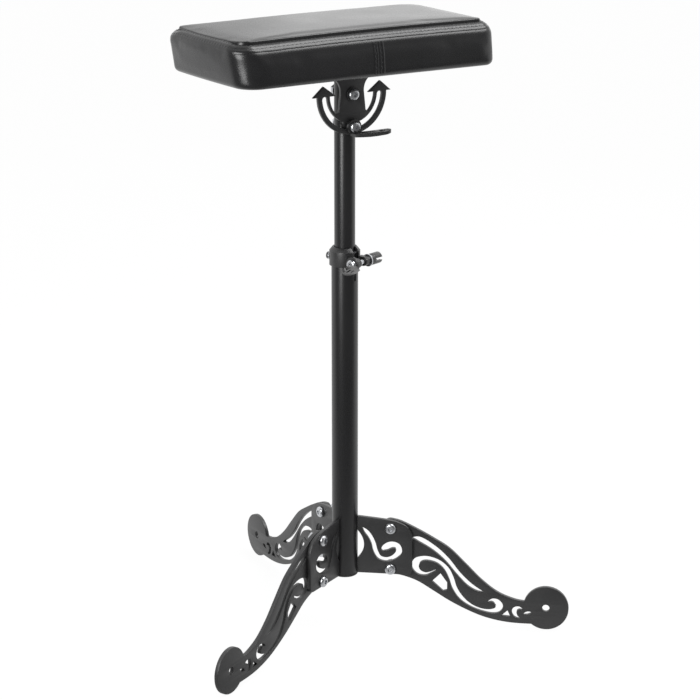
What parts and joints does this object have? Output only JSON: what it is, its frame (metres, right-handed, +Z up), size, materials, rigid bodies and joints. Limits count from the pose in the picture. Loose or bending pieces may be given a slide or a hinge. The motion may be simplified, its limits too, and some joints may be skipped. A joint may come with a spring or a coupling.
{
  "type": "tattoo armrest",
  "caption": "Height-adjustable armrest: a padded rectangular rest that tilts and swivels on a telescopic column with flat cut-out tripod legs.",
  "frame": {"origin": "on the column's axis, at the level of the floor", "axes": "+Z up along the column; -Y is the front, the side that the picture is taken from; +X is to the right in the picture"},
  "size_m": [0.4751, 0.4836, 0.7563],
  "materials": {
    "black_powder_coat": "satin black powder coat",
    "black_plastic": "matte black",
    "grey_nylon": "matte dark grey",
    "zinc": "bright zinc plated",
    "black_leather": "smooth artificial leather with a soft sheen",
    "foam": "open upholstery foam",
    "plywood": "raw plywood",
    "black_cloth": "matte non-woven dust cloth"
  },
  "bodies": {
    "base": {"column_tube": "black_powder_coat", "column_foot_cap": "black_plastic", "upper_guide_bush": "grey_nylon", "wing_plate_1": "black_powder_coat", "leg_plate_1": "black_powder_coat", "wing_plate_2": "black_powder_coat", "leg_plate_2": "black_powder_coat", "wing_plate_3": "black_powder_coat", "leg_plate_3": "black_powder_coat", "leg_screw_1_upper": "zinc", "leg_screw_1_lower": "zinc", "leg_nut_1_upper": "zinc", "leg_nut_1_lower": "zinc", "leg_screw_2_upper": "zinc", "leg_screw_2_lower": "zinc", "leg_nut_2_upper": "zinc", "leg_nut_2_lower": "zinc", "leg_screw_3_upper": "zinc", "leg_screw_3_lower": "zinc", "leg_nut_3_upper": "zinc", "leg_nut_3_lower": "zinc", "clamp_collar": "black_powder_coat", "clamp_washer_nut_side": "zinc", "clamp_washer_lever_side": "zinc", "clamp_slotted_nut": "black_powder_coat", "collar_screw_washer": "zinc", "collar_screw": "black_powder_coat"},
    "clamp_handle": {"clamp_lever": "black_powder_coat", "clamp_bolt": "zinc"},
    "guide": {"lower_guide": "grey_nylon"},
    "mast": {"mast_tube": "black_powder_coat", "mast_top_plug": "black_plastic", "pivot_washer_front": "black_powder_coat", "pivot_bolt": "zinc", "pivot_washer_back": "zinc", "pivot_nut": "zinc", "lock_washer_front": "zinc", "lock_washer_back": "zinc", "lock_nut": "zinc"},
    "tilt_handle": {"lock_lever": "black_powder_coat", "lock_bolt": "zinc"},
    "head": {"tilt_plate": "black_powder_coat", "pad_base_plate": "black_powder_coat", "pad_screw_1": "zinc", "pad_screw_2": "zinc", "pad_screw_3": "zinc", "pad_screw_4": "zinc", "pad_dust_cloth": "black_cloth", "pad_board": "plywood", "pad_foam": "foam", "pad_cover": "black_leather"}
  },
  "joints": [
    {"name": "height_slide", "type": "slide", "parent": "base", "child": "guide", "axis": [0, 0, 1], "range_m": [-0.08, 0.13]},
    {"name": "mast_swivel", "type": "hinge", "parent": "guide", "child": "mast", "pos_m": [0, 0, 0.252], "axis": [0, 0, 1], "continuous": true},
    {"name": "pad_tilt", "type": "hinge", "parent": "mast", "child": "head", "pos_m": [0, 0, 0.668], "axis": [0.5446, -0.8387, 0], "range_deg": [-60, 60]},
    {"name": "tilt_lock_turn", "type": "hinge", "parent": "mast", "child": "tilt_handle", "pos_m": [0, 0, 0.63], "axis": [0.5446, -0.8387, 0], "range_deg": [-90, 10]},
    {"name": "clamp_turn", "type": "hinge", "parent": "base", "child": "clamp_handle", "pos_m": [0.01915, -0.01607, 0.4665], "axis": [0.6428, 0.766, 0], "range_deg": [0, 90]}
  ]
}
